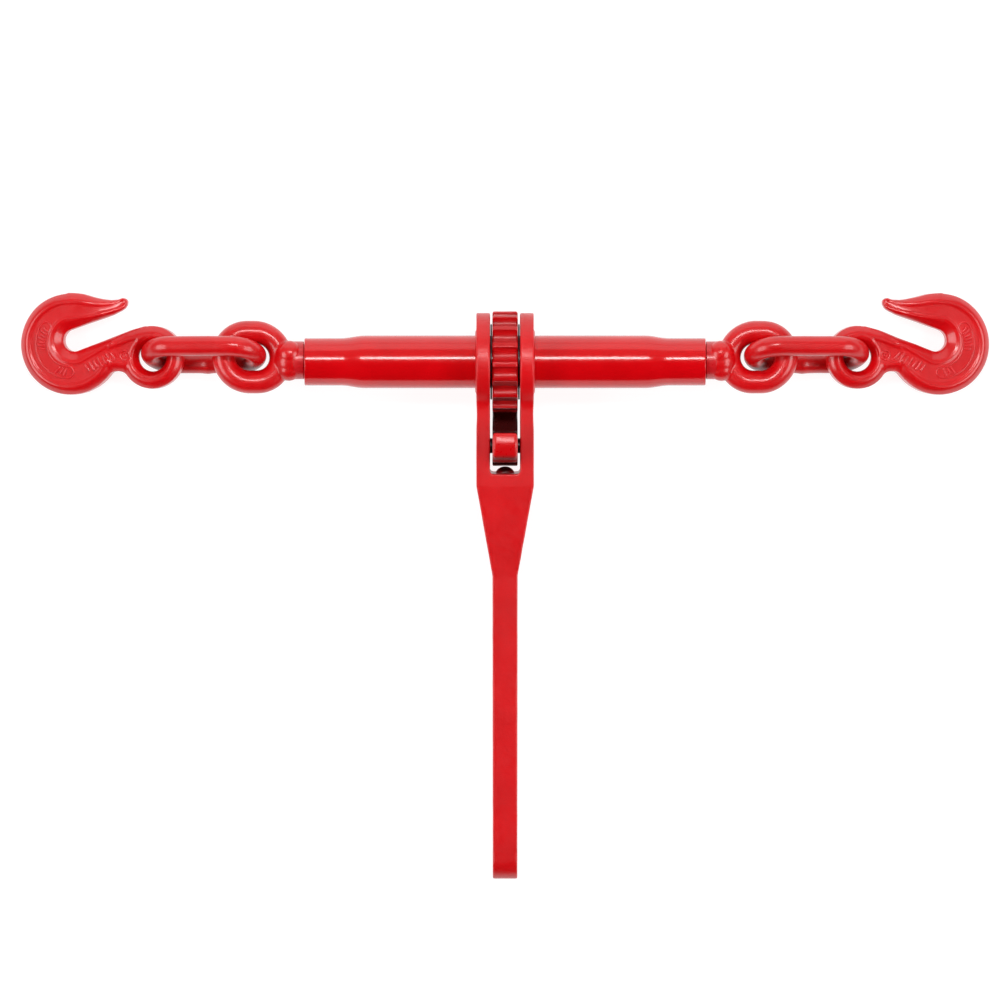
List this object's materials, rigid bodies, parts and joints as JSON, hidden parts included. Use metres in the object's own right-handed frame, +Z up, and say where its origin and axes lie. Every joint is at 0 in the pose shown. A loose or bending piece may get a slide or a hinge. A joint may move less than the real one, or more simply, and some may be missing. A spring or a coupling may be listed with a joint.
{
  "type": "ratchet load binder",
  "caption": "Red ratchet chain tensioner: a geared barrel on a forked lever handle draws in opposed eye screws, each with a link and a grab hook.",
  "frame": {"origin": "middle of the underside of the binder as it lies flat on its side, on the surface under it", "axes": "+X along the barrel to the right hook, +Y away from the handle, +Z up"},
  "size_m": [0.615, 0.3716, 0.0643],
  "materials": {
    "red_paint": "glossy enamel over forged steel, slightly uneven, thin on the edges",
    "pin_steel": "dark oiled steel",
    "plunger_steel": "brown oxide, worn bright at the tip",
    "spring_steel": "bare spring wire"
  },
  "bodies": {
    "handle": {"handle": "red_paint", "pawl_pin": "pin_steel", "pawl_spring": "spring_steel"},
    "barrel": {"barrel": "red_paint", "ratchet_gear": "red_paint", "gear_drive_pin": "pin_steel"},
    "pawl": {"pawl": "red_paint"},
    "plunger": {"pawl_plunger": "plunger_steel"},
    "left_screw": {"left_screw": "red_paint", "left_eye": "red_paint", "left_stop_pin": "pin_steel"},
    "right_screw": {"right_screw": "red_paint", "right_eye": "red_paint", "right_stop_pin": "pin_steel"},
    "left_link": {"left_link": "red_paint"},
    "right_link": {"right_link": "red_paint"},
    "left_hook": {"left_hook": "red_paint"},
    "right_hook": {"right_hook": "red_paint"}
  },
  "joints": [
    {"name": "barrel_spin", "type": "hinge", "parent": "handle", "child": "barrel", "pos_m": [0, 0.14216, 0.032], "axis": [1, 0, 0], "range_deg": [0, 7200]},
    {"name": "pawl_rock", "type": "hinge", "parent": "handle", "child": "pawl", "pos_m": [0, 0.08906, 0.0288], "axis": [1, 0, 0], "range_deg": [-46.6, 10.2]},
    {"name": "plunger_slide", "type": "slide", "parent": "handle", "child": "plunger", "axis": [0, -0.9982, -0.0602], "range_m": [0, 0.0035], "stiffness_N_per_m": 800, "springref_m": -0.002, "deforming": ["pawl_spring"]},
    {"name": "left_screw_slide", "type": "slide", "parent": "handle", "child": "left_screw", "axis": [-1, 0, 0], "range_m": [0, 0.1]},
    {"name": "left_link_swing", "type": "hinge", "parent": "left_screw", "child": "left_link", "pos_m": [-0.1783, 0.14516, 0.032], "axis": [-0.0626, -0.9397, 0.3362], "range_deg": [-60, 40]},
    {"name": "left_hook_swing", "type": "hinge", "parent": "left_link", "child": "left_hook", "pos_m": [-0.22313, 0.14516, 0.02365], "axis": [0.183, 0, -0.9831], "range_deg": [-75, 75]},
    {"name": "right_screw_slide", "type": "slide", "parent": "handle", "child": "right_screw", "axis": [1, 0, 0], "range_m": [0, 0.1]},
    {"name": "right_link_swing", "type": "hinge", "parent": "right_screw", "child": "right_link", "pos_m": [0.1783, 0.14516, 0.032], "axis": [-0.0626, 0.9397, -0.3362], "range_deg": [-60, 40]},
    {"name": "right_hook_swing", "type": "hinge", "parent": "right_link", "child": "right_hook", "pos_m": [0.22313, 0.14516, 0.02365], "axis": [0.183, 0, 0.9831], "range_deg": [-75, 75]}
  ],
  "couplings": [
    {"joint": "left_screw_slide", "follows": "barrel_spin", "m_per_rad": 0.00079577},
    {"joint": "right_screw_slide", "follows": "barrel_spin", "m_per_rad": 0.00079577}
  ]
}
